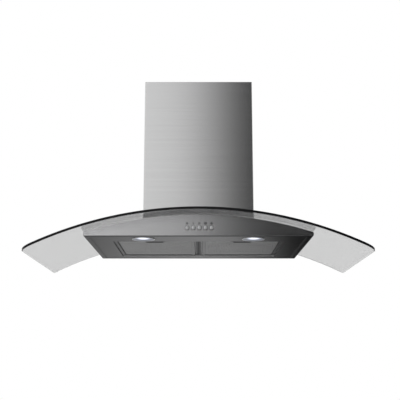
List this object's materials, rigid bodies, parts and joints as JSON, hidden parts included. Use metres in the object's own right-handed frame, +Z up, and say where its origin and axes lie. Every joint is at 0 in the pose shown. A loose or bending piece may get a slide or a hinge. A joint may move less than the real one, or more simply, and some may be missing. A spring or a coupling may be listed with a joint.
{
  "type": "wall mount range hood",
  "caption": "Wall mount range hood with an arched glass canopy, steel body with push buttons, lamps and grease filters below, and a telescoping chimney over the blower.",
  "frame": {"origin": "on the wall plane, on the centre line, level with the underside of the body", "axes": "+X to the viewer's right, +Y towards the wall, +Z up"},
  "size_m": [0.9, 0.49, 0.5287],
  "materials": {
    "brushed_steel": "horizontal brushed",
    "galvanised_steel": "galvanised sheet",
    "dark_bar": "dark satin",
    "grey_glass": "clear, light grey tint, dark front edge",
    "seal_rubber": "translucent silicone",
    "screw_steel": "plated",
    "fan_plastic": "moulded",
    "motor_paint": "satin",
    "capacitor_case": "moulded",
    "collar_plastic": "moulded",
    "terminal_plastic": "moulded",
    "button_metal": "satin",
    "lamp_chrome": "satin",
    "lamp_glass": "frosted",
    "lamp_can": "plain",
    "filter_frame": "satin",
    "filter_mesh": "expanded mesh",
    "latch_plastic": "moulded"
  },
  "bodies": {
    "hood": {"canopy_shell": "brushed_steel", "top_panel": "brushed_steel", "underside_panel": "brushed_steel", "recess_walls": "brushed_steel", "outer_chimney": "brushed_steel", "rear_panel": "galvanised_steel", "blower_box": "galvanised_steel", "scroll_housing": "galvanised_steel", "inlet_rings": "galvanised_steel", "motor_bracket": "galvanised_steel", "filter_centre_bar": "dark_bar", "glass_canopy": "grey_glass", "glass_seal": "seal_rubber", "glass_screws": "screw_steel", "blower_screws": "screw_steel", "damper_pin": "screw_steel", "fan_motor": "motor_paint", "run_capacitor": "capacitor_case", "duct_collar": "collar_plastic", "terminal_box": "terminal_plastic", "terminal_cover": "terminal_plastic", "cable_gland": "terminal_plastic", "switch_block": "terminal_plastic", "lamp_driver": "terminal_plastic", "lamp_bezel_left": "lamp_chrome", "lamp_bezel_right": "lamp_chrome", "lamp_lens_left": "lamp_glass", "lamp_lens_right": "lamp_glass", "lamp_housing_left": "lamp_can", "lamp_housing_right": "lamp_can", "lamp_board_left": "lamp_can", "lamp_board_right": "lamp_can"},
    "fan": {"fan_wheel": "fan_plastic", "motor_shaft": "screw_steel"},
    "front_flap": {"damper_flap_front": "collar_plastic"},
    "rear_flap": {"damper_flap_rear": "collar_plastic"},
    "upper_chimney": {"inner_chimney": "brushed_steel", "chimney_bracket": "galvanised_steel", "chimney_screws": "screw_steel"},
    "off_button": {"button_off": "button_metal"},
    "low_button": {"button_low": "button_metal"},
    "medium_button": {"button_medium": "button_metal"},
    "high_button": {"button_high": "button_metal"},
    "light_button": {"button_light": "button_metal"},
    "left_filter": {"filter_frame_left": "filter_frame", "filter_mesh_left": "filter_mesh"},
    "left_latch": {"filter_latch_left": "latch_plastic"},
    "right_filter": {"filter_frame_right": "filter_frame", "filter_mesh_right": "filter_mesh"},
    "right_latch": {"filter_latch_right": "latch_plastic"}
  },
  "joints": [
    {"name": "fan_spin", "type": "hinge", "parent": "hood", "child": "fan", "pos_m": [0, -0.112, 0.2], "axis": [1, 0, 0], "continuous": true},
    {"name": "front_flap_hinge", "type": "hinge", "parent": "hood", "child": "front_flap", "pos_m": [0, -0.14, 0.387], "axis": [-1, 0, 0], "range_deg": [0, 78]},
    {"name": "rear_flap_hinge", "type": "hinge", "parent": "hood", "child": "rear_flap", "pos_m": [0, -0.14, 0.387], "axis": [1, 0, 0], "range_deg": [0, 78]},
    {"name": "chimney_slide", "type": "slide", "parent": "hood", "child": "upper_chimney", "axis": [0, 0, 1], "range_m": [0, 0.33]},
    {"name": "off_press", "type": "slide", "parent": "hood", "child": "off_button", "axis": [0, 1, 0], "range_m": [0, 0.003], "stiffness_N_per_m": 400},
    {"name": "low_press", "type": "slide", "parent": "hood", "child": "low_button", "axis": [0, 1, 0], "range_m": [0, 0.003], "stiffness_N_per_m": 400},
    {"name": "medium_press", "type": "slide", "parent": "hood", "child": "medium_button", "axis": [0, 1, 0], "range_m": [0, 0.003], "stiffness_N_per_m": 400},
    {"name": "high_press", "type": "slide", "parent": "hood", "child": "high_button", "axis": [0, 1, 0], "range_m": [0, 0.003], "stiffness_N_per_m": 400},
    {"name": "light_press", "type": "slide", "parent": "hood", "child": "light_button", "axis": [0, 1, 0], "range_m": [0, 0.003], "stiffness_N_per_m": 400},
    {"name": "left_filter_hinge", "type": "hinge", "parent": "hood", "child": "left_filter", "pos_m": [0, -0.04, 0.003], "axis": [1, 0, 0], "range_deg": [0, 75]},
    {"name": "left_latch_slide", "type": "slide", "parent": "left_filter", "child": "left_latch", "axis": [0, 1, 0], "range_m": [0, 0.005], "stiffness_N_per_m": 400},
    {"name": "right_filter_hinge", "type": "hinge", "parent": "hood", "child": "right_filter", "pos_m": [0, -0.04, 0.003], "axis": [1, 0, 0], "range_deg": [0, 75]},
    {"name": "right_latch_slide", "type": "slide", "parent": "right_filter", "child": "right_latch", "axis": [0, 1, 0], "range_m": [0, 0.005], "stiffness_N_per_m": 400}
  ]
}
